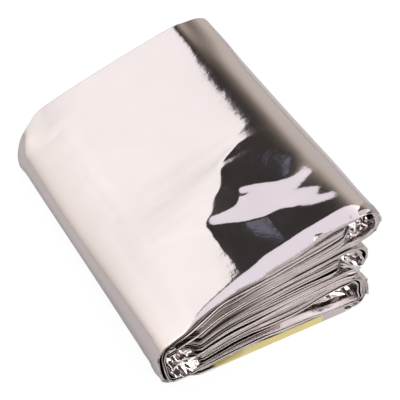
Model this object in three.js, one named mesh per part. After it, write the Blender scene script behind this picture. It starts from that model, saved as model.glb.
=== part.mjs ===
// Folded emergency sleeping bag: one long strip of film laid back and forth in a wedge-shaped packet.
// Millimetres, +Z up. The packet rests on z = 0, its open front end faces -Y and its thin wrapped edge -X.
import * as THREE from 'three';
import { mergeVertices } from 'three/addons/utils/BufferGeometryUtils.js';

// Packet
const WIDTH = 92.4; // left wrap to right fold at the front
const LENGTH = 140; // front end to back end
const HEIGHT = 46.4; // at the right, where the folds stand open
const LEFT_HEIGHT = 24.2; // at the left, where the runs lie close
const FILM = 1.1; // plies of film in one run
const RUNS = 12; // runs in the stack

// Loose ends of the outer runs
const MARGIN = 8; // front margin of the top run that droops
const DROOP = 2.4; // drop of its edge at the right
const LIP = 4.8; // front edge of the bottom run, turned up
const LIP_BASE = 3.4; // length of the run that it takes
const LIP_FROM = -28; // where the lip starts to rise, from the middle
const LIP_TO = 21; // where it stops short

// Unevenness
const BACK_SHARE = { left: 0.82, right: 0.9 }; // height at the back as a share of the front's
const WAIST = 2.2; // sag of the left edge half-way along
const CORNER_CUT = 4.8; // back left corner drawn in
const CORNER_LENGTH = 11; // length over which it is drawn in
const RIPPLE = 0.5; // waviness of the front edges

// Places across the packet where the run table gives heights, as shares of WIDTH
const ACROSS = { left: -0.345, innerLeft: -0.11, innerRight: 0.15, right: 0.325 };

// Heights of each run, top to bottom, as shares of HEIGHT; front and back insets of its ends in mm
const RUN_TABLE = [
  { innerLeft: 0.700, innerRight: 0.890, right: 0.975, front: 3.4, back: 0.0, steps: 14 },
  { innerLeft: 0.640, innerRight: 0.812, right: 0.895, front: 6.2, back: 1.0, steps: 5 },
  { innerLeft: 0.580, innerRight: 0.735, right: 0.810, front: 5.2, back: 1.6, steps: 5 },
  { innerLeft: 0.518, innerRight: 0.656, right: 0.718, front: 5.7, back: 0.6, steps: 5 },
  { innerLeft: 0.460, innerRight: 0.581, right: 0.634, front: 5.0, back: 1.2, steps: 5 },
  { innerLeft: 0.398, innerRight: 0.507, right: 0.546, front: 4.4, back: 2.0, steps: 5 },
  { innerLeft: 0.336, innerRight: 0.423, right: 0.441, front: 5.6, back: 1.0, steps: 5 },
  { innerLeft: 0.276, innerRight: 0.350, right: 0.374, front: 4.6, back: 1.5, steps: 5 },
  { innerLeft: 0.215, innerRight: 0.284, right: 0.322, front: 4.0, back: 2.0, steps: 5 },
  { innerLeft: 0.154, innerRight: 0.196, right: 0.272, front: 5.0, back: 2.4, steps: 6 },
  { innerLeft: 0.090, innerRight: 0.118, right: 0.050, front: 3.8, back: 2.0, steps: 6 },
  { innerLeft: 0.000, innerRight: 0.000, right: 0.000, front: 0.0, back: 3.0, steps: 14 },
];

// Order in which the strip passes through the runs, the first one left to right
const ORDER = [9, 12, 1, 4, 5, 8, 7, 6, 3, 2, 11, 10];

// Left edges of the two free ends, from the middle
const FREE_ENDS = { 9: 38.6, 10: 36.4 };

// Turns: where each leaves its runs and how far out it reaches, both from the middle, how far it sags,
// and how much it swells and shrinks along the packet
const TURN_TABLE = {
  left: [
    { upper: 1, lower: 12, start: 36.0, reach: 45.6, sag: 0.0, swell: 0.0 },
    { upper: 2, lower: 11, start: 36.0, reach: 43.5, sag: 0.0, swell: 0.0 },
    { upper: 3, lower: 6, start: 36.0, reach: 40.8, sag: 0.2, swell: 0.0 },
    { upper: 4, lower: 5, start: 37.0, reach: 38.3, sag: 0.0, swell: 0.0 },
    { upper: 7, lower: 8, start: 38.5, reach: 39.8, sag: 0.0, swell: 0.0 },
  ],
  right: [
    { upper: 1, lower: 4, start: 36.0, reach: 45.8, sag: 0.2, swell: 2.6 },
    { upper: 2, lower: 3, start: 36.0, reach: 41.9, sag: 0.2, swell: 0.6 },
    { upper: 5, lower: 8, start: 33.6, reach: 42.2, sag: 2.2, swell: 1.5 },
    { upper: 6, lower: 7, start: 33.6, reach: 38.4, sag: 1.4, swell: 0.8 },
    { upper: 9, lower: 12, start: 36.0, reach: 42.2, sag: 0.4, swell: 1.2 },
    { upper: 10, lower: 11, start: 34.4, reach: 39.0, sag: 0.2, swell: 0.6 },
  ],
};
const TURN_STEPS = 6; // straight steps in one turn
const TURN_FULLNESS = 0.62; // below 1 squares the turn up

// Cross sections along the packet, as shares of LENGTH from the front
const STATIONS = [0, 0.016, 0.032, 0.058, 0.12, 0.22, 0.35, 0.5, 0.65, 0.8, 0.915, 0.957, 1];

const { lerp, smoothstep } = THREE.MathUtils;
const LEFT_PITCH = (LEFT_HEIGHT - FILM) / (RUNS - 1);
const LEFT_RISE = 0.06 * LEFT_PITCH; // extra spacing of the runs just inside the left turns

function runRow(run) {
  return RUN_TABLE[run - 1];
}

// Height of a run's middle at the left and right ends of its flat stretch
function endHeight(run, side) {
  if (side === 'left') return FILM / 2 + (RUNS - run) * LEFT_PITCH;
  return FILM / 2 + runRow(run).right * (HEIGHT - FILM);
}

function findTurn(side, runA, runB) {
  return TURN_TABLE[side].find((turn) => {
    return Math.min(runA, runB) === turn.upper && Math.max(runA, runB) === turn.lower;
  });
}

function turnOf(side, run) {
  return TURN_TABLE[side].find((turn) => turn.upper === run || turn.lower === run);
}

// Signed place across where a run gives way to its turn or ends free
function runEnd(side, run) {
  const turn = turnOf(side, run);
  const distance = turn ? turn.start : FREE_ENDS[run];
  return side === 'left' ? -distance : distance;
}

// Points of one run, left to right
function runPoints(run) {
  const row = runRow(run);
  const rise = HEIGHT - FILM;
  const knots = [
    new THREE.Vector3(runEnd('left', run), 0, endHeight(run, 'left')),
    new THREE.Vector3(ACROSS.left * WIDTH, 0, endHeight(run, 'left') + LEFT_RISE * (RUNS - run)),
    new THREE.Vector3(ACROSS.innerLeft * WIDTH, 0, FILM / 2 + row.innerLeft * rise),
    new THREE.Vector3(ACROSS.innerRight * WIDTH, 0, FILM / 2 + row.innerRight * rise),
    new THREE.Vector3(ACROSS.right * WIDTH, 0, endHeight(run, 'right')),
    new THREE.Vector3(runEnd('right', run), 0, endHeight(run, 'right')),
  ];
  const curve = new THREE.CatmullRomCurve3(knots, false, 'centripetal');
  return curve.getPoints(row.steps).map((knot) => {
    return { x: knot.x, z: knot.z, run, front: row.front, back: row.back, swell: 0, phase: 0 };
  });
}

// Points of one turn between its runs, from one run to the other, without the runs' own end points
function turnPoints(side, fromRun, toRun) {
  const turn = findTurn(side, fromRun, toRun);
  const outward = side === 'left' ? -1 : 1;
  const fromRow = runRow(fromRun);
  const toRow = runRow(toRun);
  const fromHeight = endHeight(fromRun, side);
  const toHeight = endHeight(toRun, side);
  const points = [];
  for (let step = 1; step < TURN_STEPS; step += 1) {
    const angle = (Math.PI * step) / TURN_STEPS;
    const share = (1 - Math.cos(angle)) / 2;
    const bulge = Math.sin(angle) ** TURN_FULLNESS;
    points.push({
      x: outward * (turn.start + (turn.reach - turn.start) * bulge),
      z: lerp(fromHeight, toHeight, share) - turn.sag * Math.sin(angle),
      run: share < 0.5 ? fromRun : toRun,
      front: lerp(fromRow.front, toRow.front, share),
      back: lerp(fromRow.back, toRow.back, share),
      swell: turn.swell * bulge,
      phase: turn.upper,
    });
  }
  return points;
}

// The whole strip in one plain section, free end to free end
function stripPoints() {
  const points = [];
  ORDER.forEach((run, index) => {
    const rightward = index % 2 === 0;
    const stretch = runPoints(run);
    points.push(...(rightward ? stretch : stretch.reverse()));
    if (index < ORDER.length - 1) {
      points.push(...turnPoints(rightward ? 'right' : 'left', run, ORDER[index + 1]));
    }
  });
  return points;
}

// Height of the turned-up front edge of the bottom run
function lipHeight(x) {
  const rising = smoothstep(x, LIP_FROM, LIP_TO);
  const stopped = 1 - smoothstep(x, LIP_TO, LIP_TO + 4);
  return LIP * Math.sqrt(rising) * stopped;
}

// A point of the plain section carried to one station along the packet
function placePoint(point, station) {
  const across = smoothstep(point.x, -WIDTH / 2, WIDTH / 2);
  const onFloor = point.run === RUNS && Math.abs(point.x) < TURN_TABLE.left[0].start;
  const wave = Math.sin(2.1 * point.x * Math.PI / WIDTH + 1.7 * point.run);
  const front = point.front + (point.run > 1 && point.run < RUNS ? RIPPLE * wave : 0);
  const reach = LENGTH - front - point.back;
  const fromFront = station * reach;
  const position = new THREE.Vector3(point.x, 0, point.z);

  // wedge: lower towards the back, with a waist in the left edge half-way along
  const backShare = lerp(BACK_SHARE.left, BACK_SHARE.right, across);
  const leftness = 1 - smoothstep(point.x, -WIDTH / 2, 0);
  const waist = (WAIST / LEFT_HEIGHT) * leftness * Math.sin(Math.PI * station) ** 2;
  const share = lerp(1, backShare, station) - waist;
  position.z = FILM / 2 + (point.z - FILM / 2) * share;

  // right folds swell and shrink along the packet
  const wavering = 0.7 + 0.3 * Math.sin(7.3 * station + 0.9 * point.phase);
  position.x += point.swell * smoothstep(station, 0.02, 0.3) * wavering;

  // back left corner drawn in
  const toBack = LENGTH - fromFront - front;
  const cut = 1 - smoothstep(toBack, 0, CORNER_LENGTH);
  position.x += CORNER_CUT * cut * (1 - smoothstep(point.x, -WIDTH * 0.39, -WIDTH * 0.08));

  if (point.run === 1) {
    const droop = DROOP * Math.max(0, 1 - fromFront / MARGIN) ** 2;
    const loose = smoothstep(point.x, -WIDTH * 0.4, WIDTH * 0.2);
    position.z -= droop * loose * (1 - smoothstep(point.x, WIDTH * 0.36, WIDTH * 0.48));
  }

  if (onFloor) {
    const turnedUp = Math.max(0, 1 - fromFront / LIP_BASE) ** 2;
    position.z += lipHeight(point.x) * turnedUp;
  }
  position.y = -LENGTH / 2 + front + fromFront;
  return position;
}

// Middle of the strip as a grid of points: strip points by stations
function middleGrid() {
  return stripPoints().map((point) => STATIONS.map((station) => placePoint(point, station)));
}

// Unit normal of the grid at one point, from its neighbours
function gridNormal(grid, along, station) {
  const before = grid[Math.max(along - 1, 0)][station];
  const after = grid[Math.min(along + 1, grid.length - 1)][station];
  const nearer = grid[along][Math.max(station - 1, 0)];
  const farther = grid[along][Math.min(station + 1, STATIONS.length - 1)];
  const alongStrip = new THREE.Vector3().subVectors(after, before).normalize();
  const alongPacket = new THREE.Vector3().subVectors(farther, nearer).normalize();
  return new THREE.Vector3().crossVectors(alongStrip, alongPacket).normalize();
}

// A flat strip of boxes, every corner of which is carried to its place in the folded packet
function foldedStrip() {
  const grid = middleGrid();
  const steps = grid.length - 1;
  const stations = STATIONS.length - 1;
  const geometry = new THREE.BoxGeometry(steps, stations, 1, steps, stations, 1);
  geometry.deleteAttribute('normal');
  geometry.deleteAttribute('uv');
  const corners = geometry.getAttribute('position');
  for (let index = 0; index < corners.count; index += 1) {
    const along = Math.round(corners.getX(index) + steps / 2);
    const station = Math.round(corners.getY(index) + stations / 2);
    const face = Math.sign(corners.getZ(index));
    const place = grid[along][station].clone();
    place.addScaledVector(gridNormal(grid, along, station), (face * FILM) / 2);
    corners.setXYZ(index, place.x, place.y, place.z);
  }
  return mergeVertices(geometry, 1e-4);
}

// Centre the packet over the origin and stand it on z = 0
function seat(geometry) {
  geometry.computeBoundingBox();
  const { min, max } = geometry.boundingBox;
  geometry.translate(-(min.x + max.x) / 2, -(min.y + max.y) / 2, -min.z);
  geometry.computeVertexNormals();
  return geometry;
}

const bag = new THREE.Mesh(seat(foldedStrip()), new THREE.MeshStandardMaterial({ color: 0xd8d2d0 }));
bag.name = 'folded_bag';

const part = new THREE.Group();
part.name = 'emergency_sleeping_bag';
part.add(bag);

export default part;
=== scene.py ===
"""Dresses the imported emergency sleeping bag: a folded packet of metallised film on a pale floor."""

import logging
import math
from collections.abc import Sequence
from dataclasses import dataclass, field
from enum import Enum
from typing import Any

import bmesh
import bpy
import numpy as np
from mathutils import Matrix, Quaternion, Vector


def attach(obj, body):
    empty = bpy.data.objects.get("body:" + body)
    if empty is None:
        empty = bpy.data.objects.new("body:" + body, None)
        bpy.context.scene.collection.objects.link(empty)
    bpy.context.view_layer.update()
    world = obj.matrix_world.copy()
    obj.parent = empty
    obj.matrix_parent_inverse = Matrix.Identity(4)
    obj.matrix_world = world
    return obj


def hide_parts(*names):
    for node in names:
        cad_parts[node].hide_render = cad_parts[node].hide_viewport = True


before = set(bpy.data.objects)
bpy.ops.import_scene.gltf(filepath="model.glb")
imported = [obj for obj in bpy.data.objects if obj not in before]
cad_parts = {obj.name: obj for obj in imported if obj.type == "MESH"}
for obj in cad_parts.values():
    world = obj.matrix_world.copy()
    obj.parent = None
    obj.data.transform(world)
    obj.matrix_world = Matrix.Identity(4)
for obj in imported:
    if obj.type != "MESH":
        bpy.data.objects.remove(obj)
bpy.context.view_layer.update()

LOG = logging.getLogger("sleeping_bag")
MM = 0.001
BODY = "root"
NODE = "folded_bag"

# Place across, in mm, where the top and the bottom go over into their turns.
RUN_EDGE = 36.0
# Knots of a random field before it repeats, and an offset that keeps its cell numbers above 0.
NOISE_KNOTS = 97
NOISE_ORIGIN = 1000.0
# Half the angle, in radians, of the groove in a folded double edge.
GROOVE_ANGLE = 0.4
# How many lines before a grid's end a reading of it is held.
GRID_RIM = 1.001
# Distance from the front, in mm, that stands for rows far away from it.
FAR = 99.0

Array = np.ndarray
Colour = tuple[float, float, float]
Span = tuple[float, float]
Table = tuple[tuple[float, float], ...]
Stop = tuple[float, Colour]


def smoothstep(value: Array | float, low: Array | float, high: Array | float) -> Array:
    """Smooth rise from 0 to 1 between two values.

    Args:
        value: Numbers to map.
        low: Where the rise starts.
        high: Where it ends.

    Returns:
        Numbers from 0 to 1, shaped as value.
    """
    share = np.clip((np.asarray(value, dtype=float) - low) / (high - low), 0.0, 1.0)
    return share * share * (3.0 - 2.0 * share)


def smoothfall(value: Array | float, low: Array | float, high: Array | float) -> Array:
    """Smooth fall from 1 to 0 between two values."""
    return 1 - smoothstep(value, low, high)


def mix(low: Array | float, high: Array | float, share: Array | float) -> Array | float:
    """Straight blend of two values by a share from 0 to 1."""
    return low + (high - low) * share


def reading(table: Table, at: Array | float) -> Array:
    """Values of a table of rising places and values, read between its rows."""
    return np.interp(at, *zip(*table))


def hermite(knots_x: Array, knots_z: Array, x: Array) -> Array:
    """Smooth curve through knots, with slopes from their neighbours.

    Args:
        knots_x: Rising places of the knots.
        knots_z: Values at the knots.
        x: Places to read.

    Returns:
        Values at those places.
    """
    slopes = np.gradient(knots_z, knots_x)
    index = np.clip(np.searchsorted(knots_x, x) - 1, 0, len(knots_x) - 2)
    gap = knots_x[index + 1] - knots_x[index]
    t = np.clip((x - knots_x[index]) / gap, 0.0, 1.0)
    rise = (1 + 2 * t) * (1 - t) ** 2 * knots_z[index] + t * t * (3 - 2 * t) * knots_z[index + 1]
    return rise + gap * (t * (1 - t) ** 2 * slopes[index] + t * t * (t - 1) * slopes[index + 1])


def noise_cells(x: Array, y: Array, cell: float, seed: int) -> tuple[Array, ...]:
    """Random knots round each point, and its place between them.

    Args:
        x: First coordinate in mm.
        y: Second coordinate in mm, shaped as x.
        cell: Distance between the knots in mm.
        seed: Fixed seed of the knots.

    Returns:
        Knots from -1 to 1 at the four corners of each point's cell, and the point's two shares of the cell.
    """
    knots = np.random.default_rng(seed).uniform(-1.0, 1.0, (NOISE_KNOTS, NOISE_KNOTS))
    u = np.asarray(x, dtype=float) / cell + NOISE_ORIGIN
    v = np.asarray(y, dtype=float) / cell + NOISE_ORIGIN
    iu, iv = np.floor(u).astype(int), np.floor(v).astype(int)
    corners = [knots[(iu + i) % NOISE_KNOTS, (iv + j) % NOISE_KNOTS] for j in (0, 1) for i in (0, 1)]
    return (*corners, u - iu, v - iv)


def soft_noise(x: Array, y: Array, cell: float, seed: int) -> Array:
    """Smooth random field of two coordinates, from -1 to 1.

    Args:
        x: First coordinate in mm.
        y: Second coordinate in mm, shaped as x.
        cell: Distance between its knots in mm.
        seed: Fixed seed of the knots.

    Returns:
        One number for each point.
    """
    a, b, c, d, fu, fv = noise_cells(x, y, cell, seed)
    fu, fv = smoothstep(fu, 0.0, 1.0), smoothstep(fv, 0.0, 1.0)
    return mix(mix(a, b, fu), mix(c, d, fu), fv)


def facet_noise(x: Array, y: Array, cell: float, seed: int) -> Array:
    """Random field made of flat triangles that meet in sharp creases, from -1 to 1.

    Args:
        x: First coordinate in mm.
        y: Second coordinate in mm, shaped as x.
        cell: Size of the triangles in mm.
        seed: Fixed seed of their corners.

    Returns:
        One number for each point.
    """
    a, b, c, d, fu, fv = noise_cells(x, y, cell, seed)
    lower = a + (b - a) * fu + (c - a) * fv
    upper = d + (c - d) * (1 - fu) + (b - d) * (1 - fv)
    return np.where(fu + fv < 1.0, lower, upper)


def outward(x: Array, z: Array) -> tuple[Array, Array]:
    """Directions to the left of travel along a line in the section.

    Args:
        x: Places across in mm.
        z: Heights in mm.

    Returns:
        The two parts of the unit directions.
    """
    dx, dz = np.gradient(x), np.gradient(z)
    size = np.maximum(np.hypot(dx, dz), 1e-9)
    return -dz / size, dx / size


def pointing(azimuth: float, elevation: float, forward: float) -> Vector:
    """Direction from the packet by its angles.

    Args:
        azimuth: Degrees to the right.
        elevation: Degrees above the floor.
        forward: 1 where the azimuth starts straight behind the packet, -1 where it starts in front of it.

    Returns:
        The unit direction.
    """
    around, above = math.radians(azimuth), math.radians(elevation)
    level = math.cos(above)
    return Vector((math.sin(around) * level, forward * math.cos(around) * level, math.sin(above)))


class Value:
    """One shader value: an output socket that can be written in sums and products."""

    def __init__(self, graph: "Graph", socket: bpy.types.NodeSocket) -> None:
        """Keeps the socket and the graph that it belongs to."""
        self.graph = graph
        self.socket = socket

    def _with(self, operation: str, first: Any, second: Any) -> "Value":
        """A Math node on two values or numbers."""
        return self.graph.node("ShaderNodeMath", {"operation": operation}, {0: first, 1: second})

    def __add__(self, other: Any) -> "Value":
        """Sum."""
        return self._with("ADD", self, other)

    def __radd__(self, other: Any) -> "Value":
        """Sum, with the number first."""
        return self._with("ADD", other, self)

    def __sub__(self, other: Any) -> "Value":
        """Difference."""
        return self._with("SUBTRACT", self, other)

    def __rsub__(self, other: Any) -> "Value":
        """Difference, with the number first."""
        return self._with("SUBTRACT", other, self)

    def __mul__(self, other: Any) -> "Value":
        """Product."""
        return self._with("MULTIPLY", self, other)

    def __rmul__(self, other: Any) -> "Value":
        """Product, with the number first."""
        return self._with("MULTIPLY", other, self)


class Graph:
    """A node tree that is filled from expressions."""

    # Numbers of the Mix node's sockets for colours.
    FIRST_COLOUR = 6
    SECOND_COLOUR = 7
    MIXED_COLOUR = 2

    def __init__(self, tree: bpy.types.NodeTree) -> None:
        """Starts from an empty tree."""
        self.tree = tree
        tree.nodes.clear()

    def node(
        self,
        kind: str,
        settings: dict[str, Any] | None = None,
        inputs: dict[int | str, Any] | None = None,
        output: int | str = 0,
    ) -> Value:
        """Adds a node.

        Args:
            kind: The node's type.
            settings: Its own settings; stops are a ramp's places and colours.
            inputs: Values or links of its sockets, by name or number.
            output: Which of its outputs to hand back.

        Returns:
            That output, or the node's first input where it has no output.
        """
        made = self.tree.nodes.new(kind)
        for name, setting in (settings or {}).items():
            if name == "stops":
                self._set_stops(made.color_ramp, setting)
            else:
                setattr(made, name, setting)
        for key, given in (inputs or {}).items():
            socket = made.inputs[key]
            if isinstance(given, Value):
                self.tree.links.new(given.socket, socket)
            else:
                socket.default_value = given
        return Value(self, made.outputs[output] if len(made.outputs) else made.inputs[0])

    @staticmethod
    def _set_stops(ramp: bpy.types.ColorRamp, stops: Sequence[Stop]) -> None:
        """Sets a ramp's stops.

        Args:
            ramp: The ramp.
            stops: Its stops, each a place and a colour.
        """
        while len(ramp.elements) < len(stops):
            ramp.elements.new(0.5)
        for element, (place, colour) in zip(ramp.elements, stops):
            element.position = place
            element.color = (*colour, 1.0)

    def noise(self, place: Value, scale: float, detail: float) -> Value:
        """A noise pattern at places of the piece."""
        return self.node("ShaderNodeTexNoise", None, {"Vector": place, "Scale": scale, "Detail": detail})

    def mark(self, name: str) -> Value:
        """A number that the piece's own points carry."""
        return self.node("ShaderNodeAttribute", {"attribute_name": name}, output="Fac")

    def part(self, vector: Value, axis: str) -> Value:
        """One coordinate of a vector."""
        return self.node("ShaderNodeSeparateXYZ", None, {0: vector}, output=axis)

    def mapped(self, value: Value, span: Span, low: float, high: float) -> Value:
        """A value's span mapped to numbers from low to high, held beyond its ends."""
        return self.node("ShaderNodeMapRange", None, {0: value, 1: span[0], 2: span[1], 3: low, 4: high})

    def blend(self, share: Value, first: Value | Colour, second: Value | Colour) -> Value:
        """Mixes two colours.

        Args:
            share: How much there is of the second one.
            first: Colour, or a link to one.
            second: Colour, or a link to one.

        Returns:
            The mixed colour.
        """
        low, high = (end if isinstance(end, Value) else (*end, 1.0) for end in (first, second))
        inputs = {0: share, self.FIRST_COLOUR: low, self.SECOND_COLOUR: high}
        return self.node("ShaderNodeMix", {"data_type": "RGBA"}, inputs, self.MIXED_COLOUR)


@dataclass(frozen=True)
class FilmFinish:
    """Mirror-like metallised film with faint orange peel, a printed panel in yellow, and painted shade in a
    brownish colour where its points are marked.

    Attributes:
        name: Name of the material.
        silver: Reflected colour of the bare metal coat.
        dulled: Reflected colour where the coat is thinner.
        painted_shade_brown: Dark colour of the painted shade, mixed in where the points' shade mark is set.
        yellow: Colour of the printed panel.
        gloss: Roughness of the clearest patches.
        haze: Extra roughness of the dullest patches.
        print_haze: Extra roughness of the printed panel.
        peel: Height of the finest bumps in mm.
        patches: Scale and detail of the patches.
        grains: Scale and detail of the finest bumps.
        dimples: Scale and detail of the broader bumps.
        dimple_share: Height of the broader bumps as a share of the finest ones'.
    """

    name: str = "silver_film"
    silver: Colour = (0.72, 0.665, 0.655)
    dulled: Colour = (0.66, 0.61, 0.60)
    painted_shade_brown: Colour = (0.17, 0.13, 0.12)
    yellow: Colour = (0.90, 0.765, 0.335)
    gloss: float = 0.055
    haze: float = 0.06
    print_haze: float = 0.15
    peel: float = 0.015
    patches: Span = (55.0, 3.0)
    grains: Span = (850.0, 3.0)
    dimples: Span = (330.0, 1.0)
    dimple_share: float = 1.2

    def material(self) -> bpy.types.Material:
        """Builds the film's material.

        Returns:
            The material.
        """
        made = bpy.data.materials.new(self.name)
        made.use_nodes = True
        graph = Graph(made.node_tree)
        place = graph.node("ShaderNodeTexCoord", output="Object")
        patches = graph.noise(place, *self.patches)
        bumps = graph.noise(place, *self.grains) + graph.noise(place, *self.dimples) * self.dimple_share
        printed = graph.mark("printed")
        bare = graph.blend(patches, self.dulled, self.silver)
        # Painted shade: where the points' shade mark is set, a dark brownish colour is mixed into the film's
        # own colour.
        with_painted_shade = graph.blend(graph.mark("shade"), bare, self.painted_shade_brown)
        relief = {"Strength": 1.0, "Distance": self.peel * MM, "Height": bumps}
        shader = graph.node(
            "ShaderNodeBsdfPrincipled",
            None,
            {
                "Base Color": graph.blend(printed, with_painted_shade, self.yellow),
                "Metallic": 1.0 - printed,
                "Roughness": self.gloss + patches * self.haze + printed * self.print_haze,
                "Normal": graph.node("ShaderNodeBump", None, relief),
            },
        )
        graph.node("ShaderNodeOutputMaterial", None, {"Surface": shader})
        return made


@dataclass(frozen=True)
class FloorFinish:
    """Pale matt floor of the studio.

    Attributes:
        name: Name of the material.
        pale: Its own colour.
        mottle: Scale and detail of its faint patches.
        mottling: Brightness of the darker patches as a share of the others'.
        backdrop: How bright it looks straight to the camera.
        evenness: How far its shadows are filled for the camera.
        glow: How far they are filled in front of the packet, where the film mirrors it.
        front: Places along between which that begins, in metres.
    """

    name: str = "pale_floor"
    pale: Colour = (0.82, 0.815, 0.81)
    mottle: Span = (4.0, 2.0)
    mottling: float = 0.985
    backdrop: float = 1.09
    evenness: float = 0.85
    glow: float = 0.4
    front: Span = (-0.066, -0.072)

    def material(self) -> bpy.types.Material:
        """Builds the floor's material.

        Returns:
            The material.
        """
        made = bpy.data.materials.new(self.name)
        made.use_nodes = True
        graph = Graph(made.node_tree)
        place = graph.node("ShaderNodeTexCoord", output="Object")
        darker = tuple(self.mottling * part for part in self.pale)
        colour = graph.blend(graph.noise(place, *self.mottle), darker, self.pale)
        matt = graph.node("ShaderNodeBsdfDiffuse", None, {"Color": colour})
        white = {"Color": (1.0, 1.0, 1.0, 1.0), "Strength": self.backdrop}
        bright = graph.node("ShaderNodeEmission", None, white)
        seen = graph.node("ShaderNodeLightPath", output="Is Camera Ray")
        ahead = graph.mapped(graph.part(place, "Y"), self.front, 0.0, self.glow)
        filled = seen * self.evenness + (1.0 - seen) * ahead
        shader = graph.node("ShaderNodeMixShader", None, {0: filled, 1: matt, 2: bright})
        graph.node("ShaderNodeOutputMaterial", None, {"Surface": shader})
        return made


@dataclass(frozen=True)
class Run:
    """One run of the strip: its heights across, as shares of the packet's height, and its ends.

    Attributes:
        inner_left: Height left of the middle.
        inner_right: Height right of the middle.
        right: Height where the right turn begins.
        front: Inset of its front end in mm.
        back: Inset of its back end in mm.
        spread: Half the distance between its two plies at the right, in mm.
        belly: How much wider apart they are in the middle, as a share.
    """

    inner_left: float
    inner_right: float
    right: float
    front: float
    back: float
    spread: float
    belly: float = 0.0


@dataclass(frozen=True)
class Turn:
    """One turn of the strip between two runs, in mm from the middle of the packet.

    Attributes:
        upper: Number of the upper run.
        lower: Number of the lower run.
        start: Where it leaves the runs.
        reach: How far out it goes.
        sag: How far its belly hangs.
        swell: How much it swells along the packet.
    """

    upper: int
    lower: int
    start: float
    reach: float
    sag: float
    swell: float


class Side(Enum):
    """The two sides where the strip turns."""

    LEFT = -1
    RIGHT = 1


# Runs from the top to the bottom, numbered from 1.
RUNS = (
    Run(0.700, 0.890, 0.975, 5.6, 0.0, 1.10),
    Run(0.640, 0.812, 0.895, 5.9, 1.0, 1.10),
    Run(0.580, 0.735, 0.810, 5.5, 1.6, 1.20),
    Run(0.518, 0.656, 0.718, 5.6, 0.6, 1.20),
    Run(0.460, 0.581, 0.634, 5.2, 1.2, 1.20),
    Run(0.398, 0.507, 0.546, 4.8, 2.0, 1.20),
    Run(0.336, 0.423, 0.441, 4.6, 1.0, 0.95),
    Run(0.276, 0.350, 0.374, 4.2, 1.5, 0.92, 0.25),
    Run(0.215, 0.284, 0.322, 3.8, 2.0, 0.92, 0.40),
    Run(0.154, 0.196, 0.272, 3.3, 2.4, 1.12, 0.25),
    Run(0.094, 0.128, 0.090, 0.6, 2.0, 0.80),
    Run(0.000, 0.000, 0.000, 0.0, 3.0, 0.50),
)
TOP_RUN = 1
BOTTOM_RUN = len(RUNS)

TURNS = {
    Side.LEFT: (
        Turn(1, 12, 36.0, 46.7, 0.0, 0.0),
        Turn(2, 11, 36.0, 43.5, 0.0, 0.0),
        Turn(3, 6, 36.0, 40.8, 0.2, 0.0),
        Turn(4, 5, 37.0, 38.3, 0.0, 0.0),
        Turn(7, 8, 38.5, 39.8, 0.0, 0.0),
    ),
    Side.RIGHT: (
        Turn(1, 4, 36.0, 47.2, 0.2, 0.6),
        Turn(2, 3, 36.0, 41.9, 0.2, 0.6),
        Turn(5, 8, 33.6, 42.2, 2.2, 1.5),
        Turn(6, 7, 33.6, 38.4, 1.4, 0.8),
        Turn(9, 12, 36.0, 41.6, 0.4, 1.2),
        Turn(10, 11, 34.4, 39.0, 0.2, 0.6),
    ),
}

# The runs in the order of the strip, and how far out its two free ends go, in mm.
ORDER = (9, 12, 1, 4, 5, 8, 7, 6, 3, 2, 11, 10)
FREE_ENDS = {9: 38.6, 10: 36.4}

# Insets of the top's front edge at places across, in mm.
TOP_FRONT = (
    (-36.0, 2.8), (-34.0, 3.3), (-30.0, 4.4), (-25.0, 5.0), (-20.0, 5.3), (-12.9, 5.9), (-4.0, 5.1),
    (1.0, 6.2), (12.0, 6.4), (21.2, 7.1), (29.0, 7.3), (36.0, 6.8),
)


@dataclass(frozen=True)
class Recess:
    """A stretch of the front end where some runs stand further back.

    Attributes:
        first: Number of the uppermost run.
        last: Number of the lowest run.
        low: Place across where it is deepest from, in mm.
        high: Place across where it is deepest to, in mm.
        fade: Length of its slopes at both ends, in mm.
        depth: How much further back the runs stand, in mm.
    """

    first: int
    last: int
    low: float
    high: float
    fade: float
    depth: float

    def at(self, run: Array, x: Array) -> Array:
        """How much further back points of a run stand.

        Args:
            run: Numbers of the points' runs.
            x: Places across in mm.

        Returns:
            Extra insets in mm.
        """
        inside = smoothstep(x, self.low - self.fade, self.low)
        inside = inside * smoothfall(x, self.high, self.high + self.fade)
        return np.where((run >= self.first) & (run <= self.last), self.depth * inside, 0.0)


RECESSES = (
    Recess(2, 4, -60.0, -22.0, 14.0, 0.8),
    Recess(3, 10, -60.0, -34.0, 5.0, 4.0),
    Recess(2, 3, 36.0, 60.0, 5.0, 3.5),
    Recess(6, 7, 34.0, 60.0, 5.0, 3.5),
)


@dataclass
class Strand:
    """Points along a stretch of the strip, in the plain section of the packet.

    Attributes:
        x: Places across in mm.
        z: Heights in mm.
        run: Number of the run that each point belongs to.
        front: Front insets in mm.
        back: Back insets in mm.
        swell: How much each point swells outwards along the packet, in mm.
        phase: Where in the swelling each point is.
        spread: Half the distance between the two plies, in mm.
    """

    x: Array
    z: Array
    run: Array
    front: Array
    back: Array
    swell: Array
    phase: Array
    spread: Array

    @classmethod
    def joined(cls, parts: Sequence["Strand"]) -> "Strand":
        """One strand made of several, end to end."""
        names = cls.__dataclass_fields__
        return cls(**{name: np.concatenate([getattr(part, name) for part in parts]) for name in names})

    def reversed(self) -> "Strand":
        """The same points, last one first."""
        return Strand(**{name: getattr(self, name)[::-1] for name in self.__dataclass_fields__})

    def length(self) -> float:
        """Length of the stretch in mm."""
        return float(np.hypot(np.diff(self.x), np.diff(self.z)).sum())

    def straight(self, run: int) -> Array:
        """Which points lie in one run, between its turns, as points by one."""
        return ((self.run == run) & (np.abs(self.x) < RUN_EDGE))[:, None]


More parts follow.
